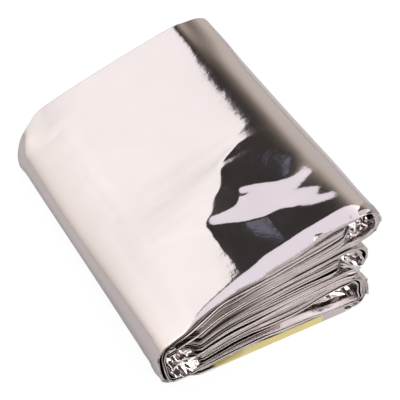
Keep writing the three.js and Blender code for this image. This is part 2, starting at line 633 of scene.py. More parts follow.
@dataclass
class FoldPath:
    """The way the strip goes back and forth through the packet, in mm.

    Attributes:
        width: Packet's width at the front.
        length: Packet's length.
        height: Packet's height at the right.
        left_height: Packet's height at the left.
        film: Thickness of one run.
        shift: How far the packet is moved to stand over the origin.
        across: Places of a run's inner knots, as shares of the width.
        left_rise: How far a run rises to its first knot, in pitches for each run below it.
        left_spread: Half the distance between the plies at the left.
        spread_span: Places across between which the right spread takes over.
        belly_at: Place across where a run's belly is widest.
        belly_width: Half the belly's width.
        left_front: Largest front inset at the left.
        front_span: Places across between which the run's own front inset takes over.
        wrap_front: Front inset of the bottom run at the left.
        wrap_span: Places across between which that inset ends.
        fullness: How full the turns are, 1 for half an ellipse and less for a squarer shape.
        crowding: How far a turn's points crowd towards its ends.
        back_share: Shares of the height that are left at the back, on the left and on the right.
        waist: How far the left side sinks halfway along.
        edge_start: Distance left of the middle where the left edge starts.
        edge_width: Width of the left edge.
        squareness: How much squarer the left edge is at the back.
        front_square: Share of that squareness at the front.
        front_reach: Share of the length over which the front's squareness dies away.
        back_reach: Distances from the back between which the back's squareness dies away.
        swell_span: Shares of the length between which the turns begin to swell.
        waver: Middle of the swelling, its swing, its waves along and its shift from turn to turn.
        corner_cut: How far the left back corner is cut back.
        corner_start: Distance left of the middle where that cut starts.
        corner_width: Width over which it grows.
        corner_length: Distance from the back over which it grows.
        corner_shift: How far the left side moves to the right at the back.
        corner_span: Shares of the width, left of the middle, between which that move ends.
        side_lean: How far the left side leans over to the right at the back.
        side_pivot: Share of the left height that stays in place as it leans.
        lean_along: Shares of the length between which the lean grows.
        lean_across: Places across between which it ends.
        flap_run: Number of the run whose front hangs down.
        flap_span: Places across between which it begins to hang.
        flap_depth: How much of its front hangs.
        flap_slope: Slope of the hanging part.
        strip_room: How far the plies stand behind the turned-up front of the bottom.
    """

    width: float = 92.4
    length: float = 140.0
    height: float = 46.4
    left_height: float = 24.2
    film: float = 1.1
    shift: Span = (-1.4, 0.23)
    across: tuple[float, float, float, float] = (-0.345, -0.11, 0.15, 0.325)
    left_rise: float = 0.06
    left_spread: float = 0.62
    spread_span: Span = (-40.0, 20.0)
    belly_at: float = 10.0
    belly_width: float = 14.0
    left_front: float = 2.6
    front_span: Span = (-36.0, -16.0)
    wrap_front: float = 2.4
    wrap_span: Span = (-38.0, -30.0)
    fullness: float = 0.62
    crowding: float = 0.4
    back_share: Span = (0.82, 0.9)
    waist: float = 2.2
    edge_start: float = 36.0
    edge_width: float = 11.4
    squareness: float = 0.72
    front_square: float = 0.55
    front_reach: float = 0.6
    back_reach: Span = (6.0, 18.0)
    swell_span: Span = (0.02, 0.3)
    waver: tuple[float, float, float, float] = (0.7, 0.3, 7.3, 0.9)
    corner_cut: float = 4.6
    corner_start: float = 37.0
    corner_width: float = 9.0
    corner_length: float = 13.0
    corner_shift: float = 2.2
    corner_span: Span = (0.39, 0.08)
    side_lean: float = 5.2
    side_pivot: float = 0.32
    lean_along: Span = (0.25, 0.9)
    lean_across: Span = (-42.0, -24.0)
    flap_run: int = 11
    flap_span: Span = (-5.0, 6.0)
    flap_depth: float = 4.5
    flap_slope: float = 0.3
    strip_room: float = 1.8

    @property
    def pitch(self) -> float:
        """Distance between two runs at the left."""
        return (self.left_height - self.film) / (len(RUNS) - 1)

    def end_height(self, run: int, side: Side) -> float:
        """Height of a run's middle where it meets its turn.

        Args:
            run: Number of the run.
            side: Which of its ends.

        Returns:
            Height in mm.
        """
        if side is Side.LEFT:
            return self.film / 2 + (len(RUNS) - run) * self.pitch
        return self.film / 2 + RUNS[run - 1].right * (self.height - self.film)

    def turn_of(self, side: Side, run: int) -> Turn | None:
        """The turn that a run goes into on one side, or None at a free end."""
        return next((turn for turn in TURNS[side] if run in (turn.upper, turn.lower)), None)

    def run_end(self, side: Side, run: int) -> float:
        """Place across, in mm, where a run goes into its turn or ends free."""
        turn = self.turn_of(side, run)
        return side.value * (turn.start if turn else FREE_ENDS[run])

    def run_height(self, run: int, x: Array) -> Array:
        """Heights of a run's middle at places across.

        Args:
            run: Number of the run.
            x: Places across in mm.

        Returns:
            Heights in mm.
        """
        row = RUNS[run - 1]
        rise = self.height - self.film
        left, right = self.end_height(run, Side.LEFT), self.end_height(run, Side.RIGHT)
        extra = self.left_rise * self.pitch * (len(RUNS) - run)
        inner = (self.film / 2 + share * rise for share in (row.inner_left, row.inner_right))
        places = (share * self.width for share in self.across)
        knots_x = np.array([self.run_end(Side.LEFT, run), *places, self.run_end(Side.RIGHT, run)])
        knots_z = np.array([left, left + extra, *inner, right, right])
        return hermite(knots_x, knots_z, np.asarray(x, dtype=float))

    def run_strand(self, run: int, step: float) -> Strand:
        """Points of one run from left to right.

        Args:
            run: Number of the run.
            step: Distance between the points in mm.

        Returns:
            The run's points.
        """
        low, high = self.run_end(Side.LEFT, run), self.run_end(Side.RIGHT, run)
        x = np.linspace(low, high, max(2, round((high - low) / step) + 1))
        row = RUNS[run - 1]
        ones = np.ones_like(x)
        spread = mix(self.left_spread, row.spread, smoothstep(x, *self.spread_span))
        spread = spread * (1.0 + row.belly * np.exp(-(((x - self.belly_at) / self.belly_width) ** 2)))
        return Strand(
            x=x,
            z=self.run_height(run, x),
            run=ones * run,
            front=self.run_front(run, x),
            back=ones * row.back,
            swell=ones * 0,
            phase=ones * 0,
            spread=spread,
        )

    def run_front(self, run: int, x: Array) -> Array:
        """Front insets of a run at places across.

        Args:
            run: Number of the run.
            x: Places across in mm.

        Returns:
            Insets in mm.
        """
        if run == TOP_RUN:
            return reading(TOP_FRONT, x)
        if run == BOTTOM_RUN:
            return self.wrap_front * smoothfall(x, *self.wrap_span)
        own = RUNS[run - 1].front
        return mix(min(own, self.left_front), own, smoothstep(x, *self.front_span))

    def opening(self, over: int, under: int, x: Array) -> tuple[Array, Array]:
        """Heights between two runs, which close where a turn joins them.

        Args:
            over: Number of the upper run.
            under: Number of the lower run.
            x: Places across in mm.

        Returns:
            Lower and upper heights in mm.
        """
        low, high = self.run_height(under, x), self.run_height(over, x)
        for side in Side:
            turn = self.turn_of(side, over)
            if turn and turn.lower == under:
                bulge = np.clip((x * side.value - turn.start) / (turn.reach - turn.start), 0.0, 1.0)
                angle = np.arcsin(bulge ** (1 / self.fullness))
                closed, sag = (1 - np.cos(angle)) / 2 * (high - low), turn.sag * np.sin(angle)
                low, high = low + closed - sag, high - closed - sag
        return low, high

    def turn_strand(self, side: Side, first: int, second: int, count: int) -> Strand:
        """Points of one turn, without the end points of its runs.

        Args:
            side: Where the turn is.
            first: Run that it comes from.
            second: Run that it goes to.
            count: How many points.

        Returns:
            The turn's points.
        """
        turn = next(t for t in TURNS[side] if {t.upper, t.lower} == {first, second})
        place = np.arange(1, count + 1) / (count + 1)
        angle = np.pi * place - self.crowding * np.sin(2 * np.pi * place)
        share = (1 - np.cos(angle)) / 2
        bulge = np.sin(angle) ** self.fullness
        heights = (self.end_height(run, side) for run in (first, second))
        start = np.array(side.value * turn.start)
        fronts = (float(self.run_front(run, start)) for run in (first, second))
        a, b = RUNS[first - 1], RUNS[second - 1]
        spread = mix(a.spread, b.spread, share) if side is Side.RIGHT else self.left_spread
        return Strand(
            x=side.value * (turn.start + (turn.reach - turn.start) * bulge),
            z=mix(*heights, share) - turn.sag * np.sin(angle),
            run=np.where(share < 0.5, first, second).astype(float),
            front=mix(*fronts, share),
            back=mix(a.back, b.back, share),
            swell=turn.swell * bulge,
            phase=np.full(count, float(turn.upper)),
            spread=spread * np.ones(count),
        )

    def strand(self, runs: Sequence[int], step: float, turn_points: int) -> Strand:
        """Points of several runs that follow each other in the strip, with the turns between them.

        Args:
            runs: Numbers of the runs, in the strip's order.
            step: Distance between the points of a run in mm.
            turn_points: Points in one turn.

        Returns:
            The whole stretch's points.
        """
        parts: list[Strand] = []
        for index, run in enumerate(runs):
            rightward = ORDER.index(run) % 2 == 0
            part = self.run_strand(run, step)
            parts.append(part if rightward else part.reversed())
            if index + 1 < len(runs):
                side = Side.RIGHT if rightward else Side.LEFT
                parts.append(self.turn_strand(side, run, runs[index + 1], turn_points))
        return Strand.joined(parts)

    def wedge(self, x: Array, station: Array) -> Array:
        """Share of the front's height that is left at a station along the packet.

        Args:
            x: Places across in mm.
            station: Shares of the length from the front.

        Returns:
            Shares of the height.
        """
        half = self.width / 2
        back = mix(*self.back_share, smoothstep(x, -half, half))
        sag = self.waist / self.left_height * smoothfall(x, -half, 0.0) * np.sin(np.pi * station) ** 2
        return mix(1.0, back, station) - sag

    def place(
        self, strand: Strand, x: Array, z: Array, from_front: Array, front: Array
    ) -> tuple[Array, Array, Array]:
        """Carries points of the plain section to places along the packet.

        Args:
            strand: The points' path.
            x: Their places across in mm, points by places.
            z: Their heights in mm, points by places.
            from_front: Distances from the run's front end in mm, points by places.
            front: Front insets in mm, points by one.

        Returns:
            Coordinates x, y and z in mm, each points by places, over the packet's own middle.
        """
        station = from_front / (self.length - front - strand.back[:, None])
        rest = self.length - from_front - front
        placed_z = self.film / 2 + (z - self.film / 2) * self.wedge(x, station)
        x = self._squared(x, station, rest)
        middle, swing, waves, lag = self.waver
        wavering = middle + swing * np.sin(waves * station + lag * strand.phase[:, None])
        placed_x = x + strand.swell[:, None] * smoothstep(station, *self.swell_span) * wavering
        near_back = np.clip(1 - rest / self.corner_length, 0.0, 1.0)
        leftness = smoothfall(x, *(-self.width * share for share in self.corner_span))
        placed_x = placed_x + self.corner_shift * near_back * leftness
        outermost = np.clip((-x - self.corner_start) / self.corner_width, 0.0, 1.0)
        placed_y = -self.length / 2 + front + from_front - self.corner_cut * near_back * outermost
        return placed_x, placed_y, placed_z

    def _squared(self, x: Array, station: Array, rest: Array) -> Array:
        """Makes the left edge squarer at the front and at the back.

        Args:
            x: Places across in mm.
            station: Shares of the length from the front.
            rest: Distances from the back in mm.

        Returns:
            Places across in mm.
        """
        at_front = self.front_square * smoothfall(station, 0.0, self.front_reach)
        square = np.maximum(at_front, smoothfall(rest, *self.back_reach))
        beyond = np.clip((-x - self.edge_start) / self.edge_width, 0.0, None)
        squared = beyond ** (1.0 - self.squareness * square)
        return np.where(beyond < 1.0, x - self.edge_width * (squared - beyond), x)

    def lean(self, x: Array, z: Array, station: Array) -> Array:
        """How far the left side leans over to the right, more and more towards the back.

        Args:
            x: Places across in mm.
            z: Heights in mm.
            station: Shares of the length from the front.

        Returns:
            Shifts across in mm, below 0 near the floor.
        """
        raised = np.clip(z / self.left_height, 0.0, 1.0) - self.side_pivot
        grown = self.side_lean * raised * smoothstep(station, *self.lean_along)
        return grown * smoothfall(x, *self.lean_across)

    def top_height(self, x: Array, y: Array) -> Array:
        """Height of the packet's plain top face.

        Args:
            x: Places across in mm.
            y: Places along in mm.

        Returns:
            Heights in mm.
        """
        row = RUNS[TOP_RUN - 1]
        station = (y + self.length / 2 - row.front) / (self.length - row.front - row.back)
        middle = self.run_height(TOP_RUN, np.clip(x, -RUN_EDGE, RUN_EDGE))
        return self.film / 2 + (middle - self.film / 2) * self.wedge(x, station) + self.film / 2


@dataclass(frozen=True)
class Crease:
    """A soft trough or ridge across the top, in mm.

    Attributes:
        start: One end, across and along.
        end: Other end, across and along.
        height: Its height, below 0 for a trough.
        width: Half its width.
        runout: How far it runs out past its ends, in widths.
        fading: How fast it dies away.
    """

    start: Span
    end: Span
    height: float
    width: float
    runout: float = 2.0
    fading: float = 1.5

    def lift(self, x: Array, y: Array) -> Array:
        """How far it lifts the top.

        Args:
            x: Places across in mm.
            y: Places along in mm.

        Returns:
            Lifts in mm.
        """
        along = np.array(self.end) - np.array(self.start)
        length = float(np.hypot(*along))
        along = along / length
        run = (x - self.start[0]) * along[0] + (y - self.start[1]) * along[1]
        off = (x - self.start[0]) * -along[1] + (y - self.start[1]) * along[0]
        past = np.maximum(0.0, np.maximum(-run, run - length))
        away = (off / self.width) ** 2 + (past / (self.runout * self.width)) ** 2
        return self.height / (1.0 + away) ** self.fading


@dataclass(frozen=True)
class Notch:
    """A dull wedge in the lit face of the step, in mm.

    Attributes:
        tip: Its pointed end, across and along.
        end: Middle of its wide end, across and along.
        width: Half its width there.
        overrun: How much further than its wide end it goes on widening, as a share.
        rim: Distances from its sides between which it ends.
        onset: Share of its length over which it starts.
    """

    tip: Span
    end: Span
    width: float
    overrun: float = 1.4
    rim: Span = (-0.4, 0.2)
    onset: float = 0.15

    def share(self, x: Array, y: Array) -> Array:
        """How far places lie in the wedge, from 0 to 1.

        Args:
            x: Places across in mm.
            y: Places along in mm.

        Returns:
            Shares, shaped as x.
        """
        along = (x - self.tip[0]) / (self.end[0] - self.tip[0])
        half = self.width * np.clip(along, 0.0, self.overrun)
        off = np.abs(y - mix(self.tip[1], self.end[1], along))
        return smoothfall(off - half, *self.rim) * smoothstep(along, 0.0, self.onset)


@dataclass(frozen=True)
class Ripple:
    """Faint unevenness all over the top.

    Attributes:
        height: Its height in mm.
        cell: Distance between its knots in mm.
        seed: Fixed seed of the knots.
        skew_across: How far its rows shift across, for each mm along.
        skew_along: How far they shift along, for each mm across.
    """

    height: float
    cell: float
    seed: int
    skew_across: float = 0.0
    skew_along: float = 0.0

    def lift(self, x: Array, y: Array) -> Array:
        """How far it lifts the top at places across and along, in mm."""
        u, v = x + self.skew_across * y, y + self.skew_along * x
        return self.height * soft_noise(u, v, self.cell, self.seed)


@dataclass
class TopRelief:
    """Unevenness of the packet's top: a wandering bend, a lit step, a drooping front margin, creases.

    Attributes:
        path: The folds that it lies on.
        bend: Where the steep left slope meets the flatter right one, as places along and across in mm.
        bend_slope: Slope across the top at the bend itself, at places along.
        ridge: How far the slope changes sharply at the bend, at places along.
        flank: How much the top falls to the right of the bend, at places along.
        flank_bend: How softly that fall starts, in mm.
        ridge_width: Half the width of the sharp change in mm.
        ridge_reach: How far from the bend it dies away, in mm.
        smoothing: How far along the bend is evened out for the broad slopes, in mm.
        smoothing_steps: How many places are read for that.
        swing_width: Distance over which the broad slopes change, in mm.
        left_weight: How much more the left slope gives way than the right one, so that the heights fit.
        flattening: How much flatter the right slope should be.
        rim: Lines at the grid's right rim that are left out of that fit.
        margin: Where the front margin starts to droop, as places across and along in mm.
        droop: Slope of the front margin.
        margin_bend: How softly it starts, in mm.
        step_back: Upper edge of the step's face, as places across and along in mm.
        step_front: Lower edge of the step's face.
        step_height: Height of the step at places across, in mm.
        evening: How far across that height is evened out for the top round it, in mm.
        dullness: Slope of its notches as a share of the face's slope.
        step_edge: How softly the face starts and ends, in mm.
        before: Share of the step's height that the top rises behind it.
        behind_span: Places along between which that rise ends, in mm.
        after: Share of the step's height that the top rises in front of it, below 0 where it goes on falling.
        ahead_from: Place along where that is whole, in mm.
        notches: Dull wedges in the face.
        shoulder_start: Place across where the rounded left shoulder starts, in mm.
        shoulder_curve: How fast its slope grows, in 1/mm.
        shoulder_width: Distance over which that growth dies away, in mm.
        shoulder_slope: Slope that it has besides, left of the top.
        creases: Troughs and ridges, given one by one.
        ripples: Unevenness all over.
        low: Left front corner of the grid in mm.
        high: Right back corner of the grid in mm.
        cell: Distance between the grid's points in mm.
        fade: Distances from the middle between which all of it ends, in mm.
        xs: Places of the grid's lines across in mm.
        ys: Places of the grid's lines along in mm.
        lifts: Lifts of the top on the grid in mm.
        droops: Lifts of the front margin on the grid in mm, below 0.
    """

    path: FoldPath
    bend: Table = (
        (-72.0, -7.0), (-60.0, -7.5), (-56.0, -8.0), (-48.7, -5.1), (-41.0, -3.8), (-35.0, -7.3),
        (-30.6, -6.5), (-27.8, -3.2), (-23.3, -0.3), (-21.7, 4.4), (-17.6, 6.6), (-10.6, 8.9), (-8.8, 14.0),
        (-6.6, 19.0), (-4.5, 20.4), (-2.2, 20.2), (-0.6, 23.0), (0.9, 26.2), (7.5, 27.4), (14.0, 28.6),
        (21.7, 29.8), (30.0, 30.2), (37.0, 30.7), (44.0, 31.6), (53.0, 32.5), (66.5, 33.0), (72.0, 33.2),
    )
    bend_slope: Table = (
        (-70.0, 0.330), (-50.0, 0.306), (-30.0, 0.282), (-14.0, 0.270), (-4.0, 0.278), (4.0, 0.300),
        (20.0, 0.278), (40.0, 0.253), (70.0, 0.218),
    )
    ridge: Table = (
        (-70.0, 0.05), (-40.0, 0.045), (-22.0, 0.045), (-14.0, 0.075), (-7.0, 0.07), (-4.5, 0.035),
        (0.0, 0.03), (12.0, 0.035), (70.0, 0.04),
    )
    flank: Table = ((36.0, 0.0), (42.0, 0.06), (50.0, 0.13), (58.0, 0.20), (66.0, 0.28), (72.0, 0.31))
    flank_bend: float = 0.4
    ridge_width: float = 0.8
    ridge_reach: float = 9.0
    smoothing: float = 16.0
    smoothing_steps: int = 7
    swing_width: float = 16.0
    left_weight: float = 4.0
    flattening: float = 0.07
    rim: int = 5
    margin: Table = (
        (-40.0, -67.5), (-35.0, -66.7), (-31.2, -64.7), (-24.7, -62.7), (-17.3, -61.5), (-5.8, -60.2),
        (2.1, -58.0), (8.0, -57.7), (16.2, -57.0), (24.4, -57.1), (33.5, -57.6), (36.0, -58.0),
    )
    droop: float = 0.24
    margin_bend: float = 0.4
    step_back: Table = (
        (-8.0, -30.0), (-5.4, -30.5), (-1.6, -31.8), (3.9, -32.5), (6.4, -31.0), (9.4, -25.6), (15.0, -28.1),
        (21.6, -32.2), (26.6, -35.8), (36.0, -25.0),
    )
    step_front: Table = (
        (-8.0, -33.2), (-3.0, -35.9), (0.9, -38.0), (5.8, -40.4), (10.3, -42.1), (17.5, -42.8), (21.6, -45.2),
        (25.5, -47.9), (32.8, -51.4), (36.0, -52.8),
    )
    step_height: Table = (
        (-8.5, 0.0), (-5.5, 0.45), (0.0, 1.0), (4.0, 1.35), (12.0, 2.3), (17.5, 2.35), (36.0, 2.35),
    )
    evening: int = 14
    dullness: float = 0.3
    step_edge: float = 0.25
    before: float = 0.3
    behind_span: Span = (-30.0, 35.0)
    after: float = -0.1
    ahead_from: float = -60.0
    notches: tuple[Notch, ...] = (
        Notch((22.6, -39.3), (31.0, -40.0), 2.7),
        Notch((28.0, -45.8), (32.0, -45.9), 1.7),
        Notch((15.0, -31.0), (7.0, -28.6), 1.2),
    )
    shoulder_start: float = -29.0
    shoulder_curve: float = 0.03
    shoulder_width: float = 12.0
    shoulder_slope: float = 0.3
    creases: tuple[Crease, ...] = (
        Crease((-31.2, -3.5), (-26.7, -20.4), -0.11, 2.2),
        Crease((-15.7, -10.7), (-8.5, -13.6), -0.08, 1.8),
        Crease((-22.6, -28.9), (-10.1, -34.9), -0.12, 2.2),
        Crease((-17.9, 28.7), (-5.3, 17.8), 0.10, 2.4),
        Crease((-38.9, 51.4), (-32.9, 51.7), -0.11, 1.5),
        Crease((2.0, 38.1), (11.1, 38.0), -0.08, 2.0),
        Crease((-33.6, 24.1), (-32.0, -2.7), -0.11, 2.0),
        Crease((27.9, -57.2), (33.7, -56.3), 0.12, 0.9),
    )
    ripples: tuple[Ripple, ...] = (
        Ripple(0.06, 11.0, 5, skew_across=0.4),
        Ripple(0.02, 5.0, 9, skew_along=-0.3),
    )
    low: Span = (-36.0, -72.0)
    high: Span = (36.0, 72.0)
    cell: float = 0.4
    fade: Span = (36.0, 46.0)
    xs: Array = field(init=False)
    ys: Array = field(init=False)
    lifts: Array = field(init=False)
    droops: Array = field(init=False)

    def __post_init__(self) -> None:
        """Works the lifts out on a grid of the top."""
        self.xs = np.arange(self.low[0], self.high[0] + self.cell / 2, self.cell)
        self.ys = np.arange(self.low[1], self.high[1] + self.cell / 2, self.cell)
        x, y = np.meshgrid(self.xs, self.ys, indexing="ij")
        plain = self.path.top_height(x, y)
        slope = self._slopes(x, y, plain)
        height = plain[:1] + np.cumsum(slope, axis=0) * self.cell - slope[:1] * self.cell
        lift = height - plain + self._step(x, y)
        beside = np.logaddexp(0.0, (x - reading(self.bend, y)) / self.flank_bend)
        lift -= reading(self.flank, y) * beside * self.flank_bend
        for crease in self.creases:
            lift += crease.lift(x, y)
        self.lifts = lift + sum(ripple.lift(x, y) for ripple in self.ripples)
        ahead = np.logaddexp(0.0, (reading(self.margin, x) - y) / self.margin_bend)
        self.droops = -self.droop * (ahead * self.margin_bend)

    def _slopes(self, x: Array, y: Array, plain: Array) -> Array:
        """Slopes across the top that lead from its left height to its right one.

        Args:
            x: Places across in mm.
            y: Places along in mm.
            plain: Heights of the plain top in mm.

        Returns:
            Slopes, rising to the right.
        """
        offsets = np.linspace(-self.smoothing, self.smoothing, self.smoothing_steps)
        near = reading(self.bend, y) - x
        far = np.mean([reading(self.bend, y + offset) for offset in offsets], axis=0) - x
        sharp = reading(self.ridge, y) * np.tanh(near / self.ridge_width)
        sharp = sharp * np.exp(-np.abs(near) / self.ridge_reach)
        middle = reading(self.bend_slope, y) + sharp
        swing = np.tanh(far / self.swing_width)
        kept = slice(None, -self.rim)
        left = np.maximum(swing, 0.0)[kept].sum(axis=0) * self.cell
        right = np.maximum(-swing, 0.0)[kept].sum(axis=0) * self.cell
        missing = plain[-self.rim - 1] - plain[0] - middle[kept].sum(axis=0) * self.cell
        factor = (missing + self.flattening * right) / (self.left_weight * left**2 + right**2)
        change = np.where(far > 0, self.left_weight * left * factor, self.flattening - right * factor)
        return middle + change * swing

    def _step(self, x: Array, y: Array) -> Array:
        """Lifts of the step, whose lit face falls to the front, and of the top behind it and in front of it.

        Args:
            x: Places across in mm.
            y: Places along in mm.

        Returns:
            Lifts in mm.
        """
        back, front = reading(self.step_back, x), reading(self.step_front, x)
        edge = (-self.step_edge, self.step_edge)
        face = smoothstep(back - y, *edge) * smoothstep(y - front, *edge)
        dull = np.max([notch.share(x, y) for notch in self.notches], axis=0)
        fall = np.cumsum((face * mix(1.0, self.dullness, dull))[:, ::-1], axis=1)[:, ::-1]
        height = reading(self.step_height, self.xs)
        drop = height[:, None] * fall / fall[:, :1]
        offsets = range(-self.evening, self.evening + 1, 2)
        even = np.mean([reading(self.step_height, self.xs + offset) for offset in offsets], axis=0)
        behind = smoothfall(y, *self.behind_span)
        ahead = smoothfall(y, self.ahead_from, front)
        around = even[:, None] * (self.before * behind + self.after * ahead)
        return around + (height - even)[:, None] * ahead - drop

    def read(self, grid: Array, x: Array, y: Array) -> Array:
        """Reads a grid between its points, held at its rims.

        Args:
            grid: Values on the grid.
            x: Places across in mm.
            y: Places along in mm.

        Returns:
            Values at the places.
        """
        u = np.clip((x - self.low[0]) / self.cell, 0.0, len(self.xs) - GRID_RIM)
        v = np.clip((y - self.low[1]) / self.cell, 0.0, len(self.ys) - GRID_RIM)
        iu, iv = u.astype(int), v.astype(int)
        fu, fv = u - iu, v - iv
        near = mix(grid[iu, iv], grid[iu + 1, iv], fu)
        far = mix(grid[iu, iv + 1], grid[iu + 1, iv + 1], fu)
        return mix(near, far, fv)

    def lift(self, x: Array, y: Array, z: Array) -> Array:
        """Heights with the top's unevenness, which fades towards the bottom.

        Args:
            x: Places across in mm.
            y: Places along in mm.
            z: Plain heights in mm.

        Returns:
            Heights in mm.
        """
        share = np.clip(z / self.path.top_height(x, y), 0.0, 1.0)
        turned = np.maximum(0.0, self.shoulder_start - x)
        sunk = 0.5 * self.shoulder_curve * turned**2 / (1 + turned / self.shoulder_width)
        sunk = sunk + self.shoulder_slope * np.maximum(0.0, self.low[0] - x)
        uneven = share * self.read(self.lifts, x, y) + share**3 * self.read(self.droops, x, y)
        return z - share**2 * sunk + smoothfall(np.abs(x), *self.fade) * uneven


@dataclass(frozen=True)
class Row:
    """One line of a ply's section along the packet.

    Attributes:
        share: Share of the ply's length that it lies at.
        shift: Distance from there towards the back, in mm.
        lift: Distance from the ply's middle towards its outer side.
        groove: How much of the groove between two folded edges it has.
    """

    share: float
    shift: float
    lift: float
    groove: float = 0.0


def nose(end: int, radius: float, count: int) -> list[Row]:
    """Rows round a folded edge, from the inner side to the outer one at the front, the other way at the back.

    Args:
        end: 0 for the front edge, 1 for the back edge.
        radius: How far the edge is rounded, in mm.
        count: Number of rows.

    Returns:
        The rows.
    """
    rows: list[Row] = []
    for index in range(count):
        angle = math.pi * (index / (count - 1) - 0.5)
        inward = radius * (1 - math.sqrt(max(math.cos(angle), 0.0)))
        notch = math.exp(-((angle / GROOVE_ANGLE) ** 2))
        lift = math.copysign(math.sqrt(abs(math.sin(angle))), angle)
        rows.append(Row(0.0, inward, lift, notch) if end == 0 else Row(1.0, -inward, -lift, -notch))
    return rows


def mesh_of(
    name: str, points: Array, ring: bool, material: bpy.types.Material, marks: dict[str, Array]
) -> bpy.types.Object:
    """Makes a sheet from a grid of points.

    Args:
        name: Name of the piece.
        points: Grid of points in mm, lines by rows by 3.
        ring: Whether the rows close on themselves.
        material: Finish of the piece.
        marks: Named numbers for the points.

    Returns:
        The piece, in metres.
    """
    lines, rows = points.shape[:2]
    index = np.arange(lines * rows).reshape(lines, rows)
    last = rows if ring else rows - 1
    near, far = index[:, :last], np.roll(index, -1, axis=1)[:, :last]
    quads = np.stack([near[:-1], near[1:], far[1:], far[:-1]], axis=-1).reshape(-1, 4)
    faces = [tuple(quad) for quad in quads.tolist()]
    if ring:
        faces += [tuple(index[0].tolist()), tuple(index[-1][::-1].tolist())]
    mesh = bpy.data.meshes.new(name)
    mesh.from_pydata((points.reshape(-1, 3) * MM).tolist(), [], faces)
    mesh.polygons.foreach_set("use_smooth", np.ones(len(mesh.polygons), dtype=bool))
    for mark, values in marks.items():
        layer = mesh.attributes.new(mark, "FLOAT", "POINT")
        layer.data.foreach_set("value", np.ascontiguousarray(values, dtype=np.float32).ravel())
    mesh.materials.append(material)
    made = bpy.data.objects.new(name, mesh)
    bpy.context.scene.collection.objects.link(made)
    return made


@dataclass(frozen=True)
class Crumpling:
    """How the front ends of the turns are crumpled, in mm.

    Attributes:
        reach: Distance from the front over which it dies away.
        core_span: Places across between which it ends at the left.
        core_height: Height of its middle at the left.
        core_fade: Distances from that height between which it ends.
        ends_span: Places across between which it starts at the right.
        bend: Stretch, slant, size and seed of the facets that move points across and up.
        tilt: Stretch, slant, size and seed of the facets that move points along.
        fine: Sizes of the finer facets of both.
        fine_share: Depth of the finer facets as a share of the others'.
        moves: How far points move across, along and up.
    """

    reach: float = 7.0
    core_span: Span = (-37.0, -27.0)
    core_height: float = 11.0
    core_fade: Span = (6.5, 10.0)
    ends_span: Span = (31.0, 39.0)
    bend: tuple[float, float, float, int] = (1.3, 0.6, 3.3, 3)
    tilt: tuple[float, float, float, int] = (1.1, -0.5, 2.9, 4)
    fine: Span = (2.0, 2.3)
    fine_share: float = 0.4
    moves: tuple[float, float, float] = (0.6, 1.1, 0.6)

    def weight(self, x: Array, z: Array, from_front: Array) -> Array:
        """How strongly points are crumpled.

        Args:
            x: Places across in mm.
            z: Heights in mm.
            from_front: Distances from the front in mm.

        Returns:
            Shares from 0 to 1.
        """
        core = smoothfall(x, *self.core_span) * smoothfall(np.abs(z - self.core_height), *self.core_fade)
        near = np.exp(-np.maximum(from_front, 0.0) / self.reach)
        return near * np.maximum(core, smoothstep(x, *self.ends_span))

    def moved(self, x: Array, y: Array, z: Array, weight: Array, seed: int) -> tuple[Array, Array, Array]:
        """Moves points by their facets.

        Args:
            x: Places across in mm.
            y: Places along in mm.
            z: Heights in mm.
            weight: How strongly they are crumpled.
            seed: Seed of the finer facets.

        Returns:
            The three moved coordinates.
        """
        stretch, slant, size, own = self.bend
        bend = facet_noise(z * stretch, y + slant * x, size, own)
        bend = bend + self.fine_share * facet_noise(z, x, self.fine[0], seed)
        stretch, slant, size, own = self.tilt
        tilt = facet_noise(z * stretch, y + slant * x, size, own)
        tilt = tilt + self.fine_share * facet_noise(x, z, self.fine[1], seed + 1)
        across, along, up = self.moves
        return x + across * weight * bend, y + along * weight * tilt, z + up * weight * bend


